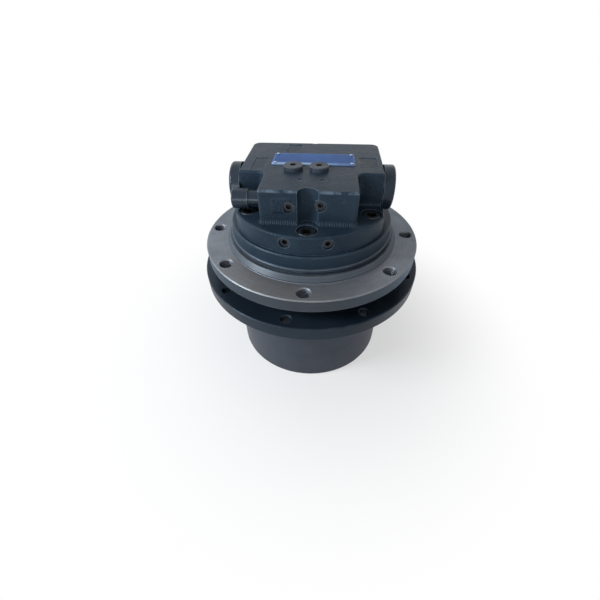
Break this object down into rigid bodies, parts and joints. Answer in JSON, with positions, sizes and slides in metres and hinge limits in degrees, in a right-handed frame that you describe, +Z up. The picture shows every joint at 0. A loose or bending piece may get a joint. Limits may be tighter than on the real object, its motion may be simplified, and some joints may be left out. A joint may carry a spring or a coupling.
{
  "type": "excavator final drive",
  "caption": "Travel motor with valve block on top, planetary reduction gear and sprocket hub below: turns an excavator's track sprocket from hydraulic pressure.",
  "frame": {"origin": "centre of the hub's bottom face, on the drive's axis", "axes": "+Z up the drive's axis, from the hub to the valve block; -Y towards the block's front wall"},
  "size_m": [0.264, 0.264, 0.2465],
  "materials": {
    "casing_paint": "satin black paint on cast iron; the machined frame flange is bare",
    "end_cover_paint": "satin black paint on a turned steel plate",
    "cap_paint": "satin black paint on turned steel",
    "screw_steel": "black oxide",
    "rubber": "matte",
    "spring_steel": "oiled",
    "blue_plate": "blue anodised, bare of text",
    "rivet_metal": "satin",
    "bronze": "satin",
    "gear_steel": "ground flanks",
    "carrier_iron": "machined",
    "steel": "ground and oiled"
  },
  "bodies": {
    "casing": {"motor_casing": "casing_paint", "rear_cover": "casing_paint", "cover_screws": "screw_steel", "cover_seal": "rubber", "counterbalance_caps": "cap_paint", "counterbalance_spring_left": "spring_steel", "counterbalance_spring_right": "spring_steel", "shift_valve_cap": "cap_paint", "shift_spring": "spring_steel", "top_plugs": "cap_paint", "hex_plugs": "screw_steel", "nameplate": "blue_plate", "nameplate_rivets": "rivet_metal", "valve_plate": "bronze", "swash_balls": "steel", "brake_springs": "spring_steel", "separator_plates": "steel", "shaft_bearing": "steel", "shaft_needle_bearing": "steel", "shaft_seal": "rubber", "bearing_inner_rings": "steel", "bearing_nut": "screw_steel", "seal_ring_casing": "steel", "seal_rubber_casing": "rubber", "second_planet_pins": "steel", "second_needle_bearings": "steel"},
    "hub": {"hub": "casing_paint", "ring_gear": "gear_steel", "end_cover": "end_cover_paint", "thrust_pad": "bronze", "end_cover_seal": "rubber", "retaining_ring": "screw_steel", "oil_plugs": "screw_steel", "bearing_outer_rings": "steel", "seal_ring_hub": "steel", "seal_rubber_hub": "rubber"},
    "rotor": {"motor_shaft": "steel", "cylinder_barrel": "steel", "pistons": "steel", "piston_shoes": "bronze", "shoe_retainer": "steel", "friction_plates": "bronze", "first_sun_gear": "gear_steel"},
    "first_carrier": {"first_carrier": "carrier_iron", "second_sun_gear": "gear_steel", "first_planet_pins": "steel", "first_needle_bearings": "steel"},
    "rollers": {"bearing_rollers": "steel", "bearing_cages": "bronze"},
    "swash_plate": {"swash_plate": "carrier_iron"},
    "tilt_piston": {"tilt_piston": "steel"},
    "brake_piston": {"brake_piston": "carrier_iron"},
    "counterbalance_spool": {"counterbalance_spool": "steel"},
    "shift_spool": {"shift_spool": "steel"},
    "first_planet_a": {"first_planet_gear_a": "gear_steel"},
    "second_planet_a": {"second_planet_gear_a": "gear_steel"},
    "first_planet_b": {"first_planet_gear_b": "gear_steel"},
    "second_planet_b": {"second_planet_gear_b": "gear_steel"},
    "first_planet_c": {"first_planet_gear_c": "gear_steel"},
    "second_planet_c": {"second_planet_gear_c": "gear_steel"}
  },
  "joints": [
    {"name": "hub_spin", "type": "hinge", "parent": "casing", "child": "hub", "pos_m": [0, 0, 0], "axis": [0, 0, 1], "continuous": true},
    {"name": "rotor_spin", "type": "hinge", "parent": "casing", "child": "rotor", "pos_m": [0, 0, 0], "axis": [0, 0, 1], "continuous": true},
    {"name": "first_carrier_spin", "type": "hinge", "parent": "casing", "child": "first_carrier", "pos_m": [0, 0, 0], "axis": [0, 0, 1], "continuous": true},
    {"name": "roller_set_spin", "type": "hinge", "parent": "casing", "child": "rollers", "pos_m": [0, 0, 0], "axis": [0, 0, 1], "continuous": true},
    {"name": "first_planet_a_spin", "type": "hinge", "parent": "first_carrier", "child": "first_planet_a", "pos_m": [0, -0.045, 0], "axis": [0, 0, 1], "continuous": true},
    {"name": "first_planet_b_spin", "type": "hinge", "parent": "first_carrier", "child": "first_planet_b", "pos_m": [0.03897, 0.0225, 0], "axis": [0, 0, 1], "continuous": true},
    {"name": "first_planet_c_spin", "type": "hinge", "parent": "first_carrier", "child": "first_planet_c", "pos_m": [-0.03897, 0.0225, 0], "axis": [0, 0, 1], "continuous": true},
    {"name": "second_planet_a_spin", "type": "hinge", "parent": "casing", "child": "second_planet_a", "pos_m": [0, -0.04875, 0], "axis": [0, 0, 1], "continuous": true},
    {"name": "second_planet_b_spin", "type": "hinge", "parent": "casing", "child": "second_planet_b", "pos_m": [0.04222, 0.02438, 0], "axis": [0, 0, 1], "continuous": true},
    {"name": "second_planet_c_spin", "type": "hinge", "parent": "casing", "child": "second_planet_c", "pos_m": [-0.04222, 0.02438, 0], "axis": [0, 0, 1], "continuous": true},
    {"name": "swash_tilt", "type": "hinge", "parent": "casing", "child": "swash_plate", "pos_m": [0, 0, 0.0913], "axis": [1, 0, 0], "range_deg": [0, 6], "stiffness_Nm_per_rad": 2, "springref_deg": -11.46},
    {"name": "tilt_piston_slide", "type": "slide", "parent": "casing", "child": "tilt_piston", "axis": [0, 0, 1], "range_m": [0, 0.0038]},
    {"name": "brake_release", "type": "slide", "parent": "casing", "child": "brake_piston", "axis": [0, 0, 1], "range_m": [0, 0.0015], "stiffness_N_per_m": 20000, "springref_m": -0.001, "deforming": ["brake_springs"]},
    {"name": "counterbalance_shift", "type": "slide", "parent": "casing", "child": "counterbalance_spool", "axis": [1, 0, 0], "range_m": [-0.006, 0.006], "stiffness_N_per_m": 2000, "deforming": ["counterbalance_spring_left", "counterbalance_spring_right"]},
    {"name": "speed_shift", "type": "slide", "parent": "casing", "child": "shift_spool", "axis": [1, 0, 0], "range_m": [0, 0.006], "stiffness_N_per_m": 1500, "springref_m": -0.002, "deforming": ["shift_spring"]}
  ],
  "couplings": [
    {"joint": "rotor_spin", "follows": "hub_spin", "ratio": -25},
    {"joint": "first_carrier_spin", "follows": "hub_spin", "ratio": -3.3333},
    {"joint": "roller_set_spin", "follows": "hub_spin", "ratio": 0.534},
    {"joint": "first_planet_a_spin", "follows": "hub_spin", "ratio": 10.833},
    {"joint": "first_planet_b_spin", "follows": "hub_spin", "ratio": 10.833},
    {"joint": "first_planet_c_spin", "follows": "hub_spin", "ratio": 10.833},
    {"joint": "second_planet_a_spin", "follows": "hub_spin", "ratio": 2.8571},
    {"joint": "second_planet_b_spin", "follows": "hub_spin", "ratio": 2.8571},
    {"joint": "second_planet_c_spin", "follows": "hub_spin", "ratio": 2.8571},
    {"joint": "tilt_piston_slide", "follows": "swash_tilt", "m_per_rad": 0.036}
  ]
}
